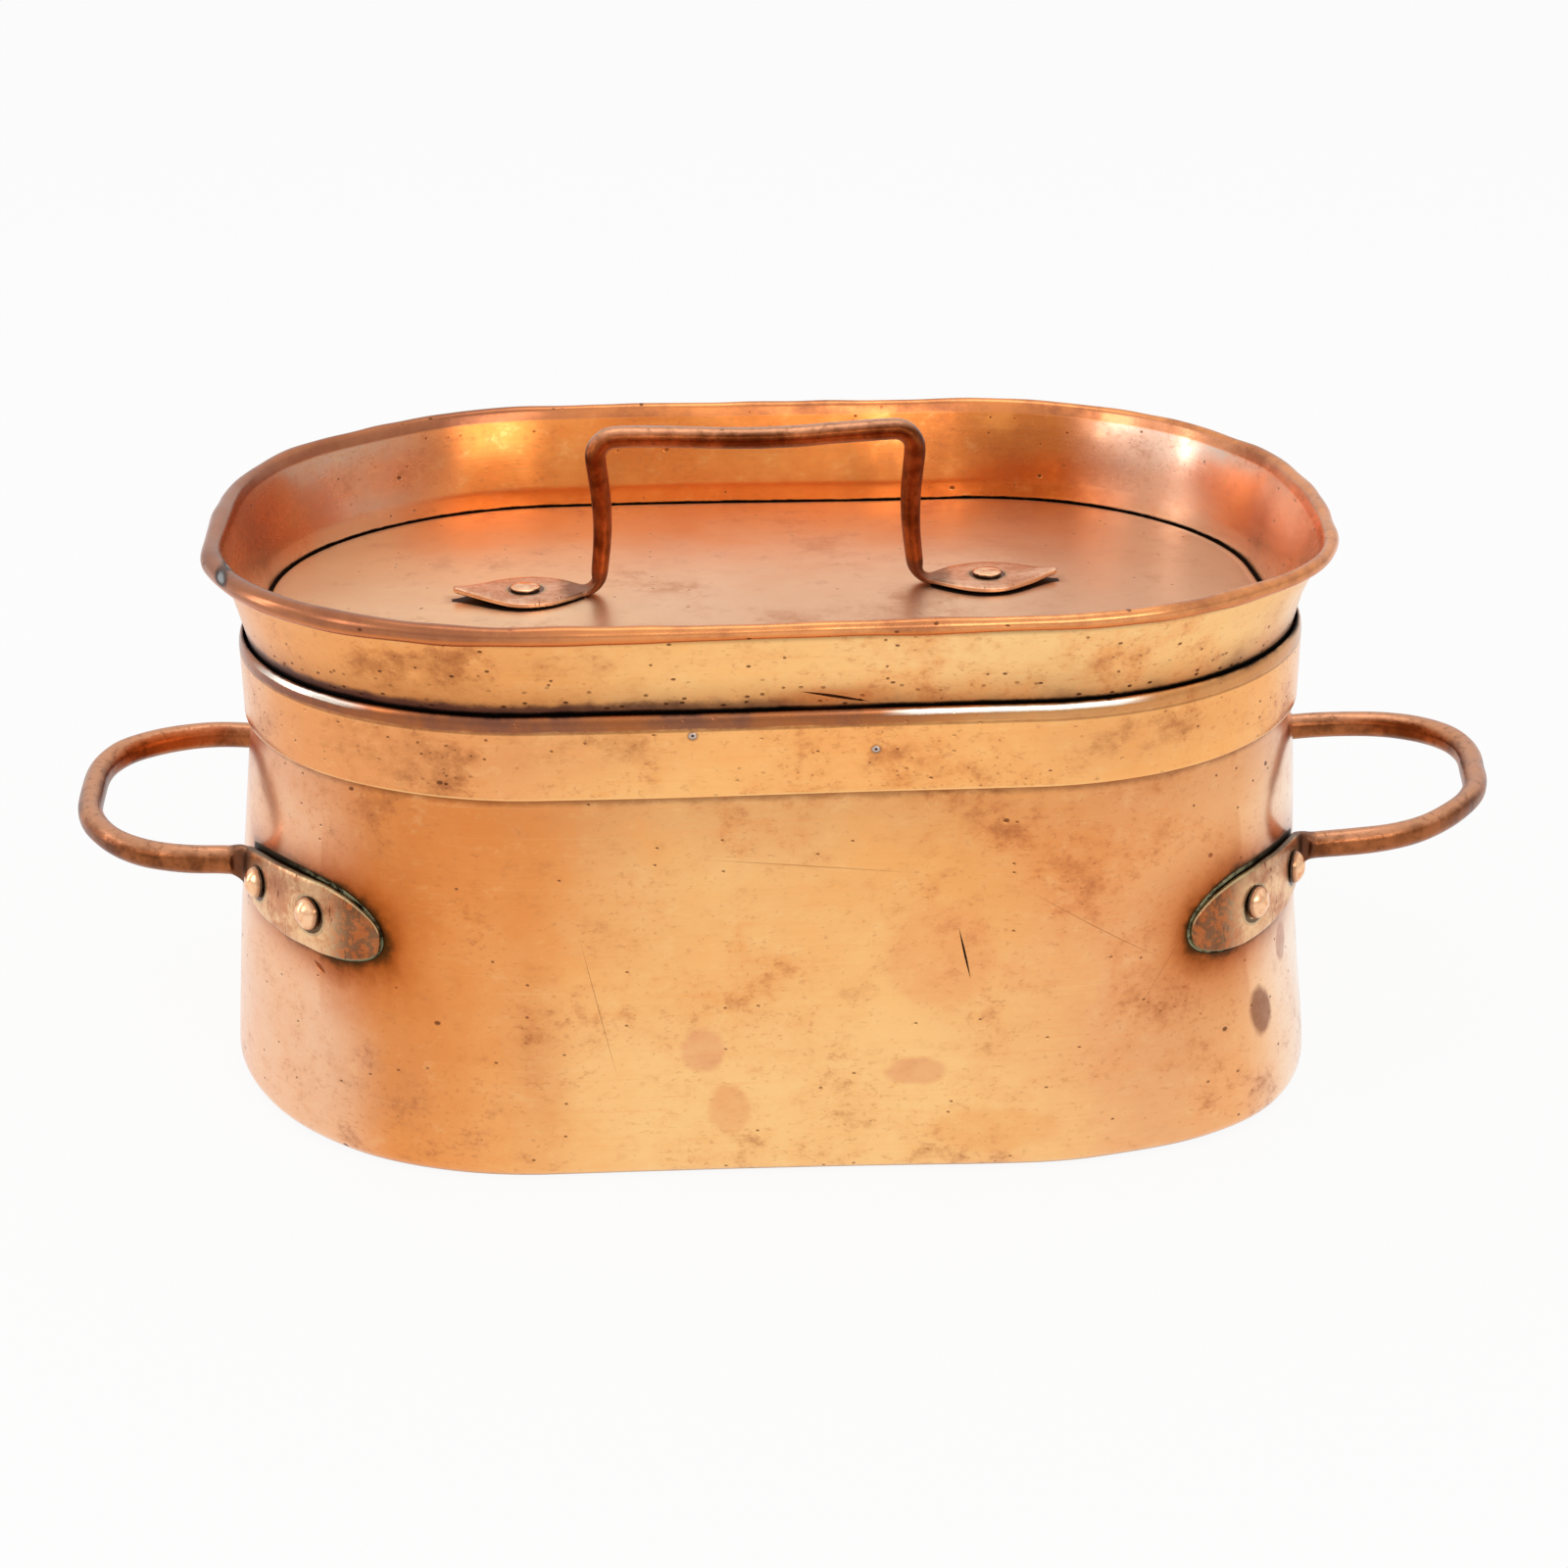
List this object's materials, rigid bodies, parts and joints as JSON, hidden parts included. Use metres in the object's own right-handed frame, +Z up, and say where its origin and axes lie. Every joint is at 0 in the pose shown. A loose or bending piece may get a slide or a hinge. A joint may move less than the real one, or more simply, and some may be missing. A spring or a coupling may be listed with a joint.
{
  "type": "braising pot",
  "caption": "Oblong copper braising pot with forged end loops and a slip-over lid that carries a flared coal tray and a square grip.",
  "frame": {"origin": "middle of the flat bottom", "axes": "+X along the pot to the longer loop, -Y to the front, +Z up"},
  "size_m": [0.4792, 0.262, 0.2015],
  "materials": {
    "pot_copper": "worn polished copper with brown patina, tinned inside",
    "lid_copper": "worn satin copper with brown patina",
    "forged_copper": "hammered copper, dark brown patina",
    "rivet_copper": "rubbed bright copper",
    "wire_iron": "dull iron wire"
  },
  "bodies": {
    "pot": {"pot_wall": "pot_copper", "pot_base": "pot_copper", "right_handle": "forged_copper", "right_front_root_rivet": "rivet_copper", "right_front_tip_rivet": "rivet_copper", "right_back_root_rivet": "rivet_copper", "right_back_tip_rivet": "rivet_copper", "left_handle": "forged_copper", "left_front_root_rivet": "rivet_copper", "left_front_tip_rivet": "rivet_copper", "left_back_root_rivet": "rivet_copper", "left_back_tip_rivet": "rivet_copper"},
    "lid": {"lid_skirt": "lid_copper", "lid_tray_wall": "lid_copper", "lid_rim_wire": "wire_iron", "lid_panel": "lid_copper", "lid_handle": "forged_copper", "lid_handle_left_rivet": "rivet_copper", "lid_handle_right_rivet": "rivet_copper"}
  },
  "joints": [
    {"name": "lid_lift", "type": "slide", "parent": "pot", "child": "lid", "axis": [0, 0, 1], "range_m": [0, 0.12]}
  ]
}
